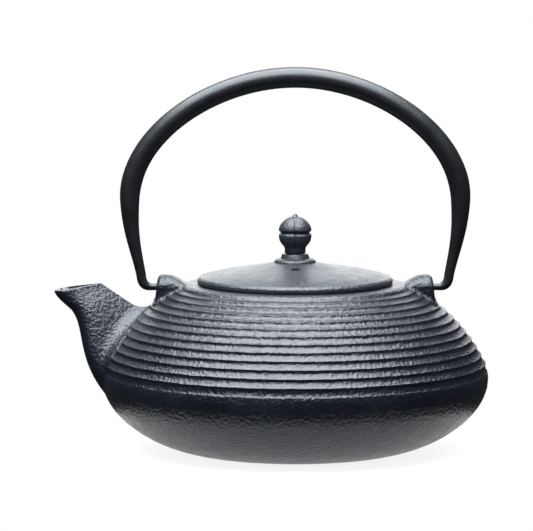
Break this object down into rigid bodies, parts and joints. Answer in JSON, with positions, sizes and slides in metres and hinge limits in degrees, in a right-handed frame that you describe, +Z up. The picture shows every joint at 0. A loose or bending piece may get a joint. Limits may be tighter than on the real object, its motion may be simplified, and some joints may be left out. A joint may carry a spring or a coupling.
{
  "type": "teapot",
  "caption": "Round cast-iron teapot with a terraced shoulder, side spout, lift-off lid, swinging bail handle and lift-out tea infuser.",
  "frame": {"origin": "centre of the pot's flat foot, on the pot's axis, on the surface that it stands on", "axes": "+Z up along the pot's axis, the spout points along -X, the handle's pivot line is parallel to X, +Y is away from the vent hole's side"},
  "size_m": [0.216, 0.1922, 0.19],
  "materials": {
    "cast_iron": "matte black, fine sand-cast grain, dark enamel inside",
    "lid_iron": "matte black, fine sand-cast grain",
    "handle_iron": "satin black, smooth",
    "steel": "pressed stainless steel, satin",
    "wire_mesh": "fine woven stainless steel mesh"
  },
  "bodies": {
    "pot": {"pot_floor": "cast_iron", "pot_bowl": "cast_iron", "pot_belt": "cast_iron", "pot_shoulder": "cast_iron", "pot_collar": "cast_iron", "spout": "cast_iron", "lug_spout_side": "cast_iron", "lug_rear": "cast_iron"},
    "bail": {"handle": "handle_iron"},
    "infuser": {"infuser_rim": "steel", "infuser_wall": "wire_mesh", "infuser_base_ring": "steel", "infuser_base": "wire_mesh"},
    "lid_with_knob": {"lid": "lid_iron", "lid_flange": "lid_iron", "knob": "lid_iron", "knob_screw": "steel", "knob_washer": "steel"}
  },
  "joints": [
    {"name": "handle_swing", "type": "hinge", "parent": "pot", "child": "bail", "pos_m": [0, 0, 0.0807], "axis": [1, 0, 0], "range_deg": [-105, 105]},
    {"name": "infuser_lift", "type": "slide", "parent": "pot", "child": "infuser", "axis": [0, 0, 1], "range_m": [0, 0.055]},
    {"name": "lid_lift", "type": "slide", "parent": "infuser", "child": "lid_with_knob", "axis": [0, 0, 1], "range_m": [0, 0.055]}
  ]
}
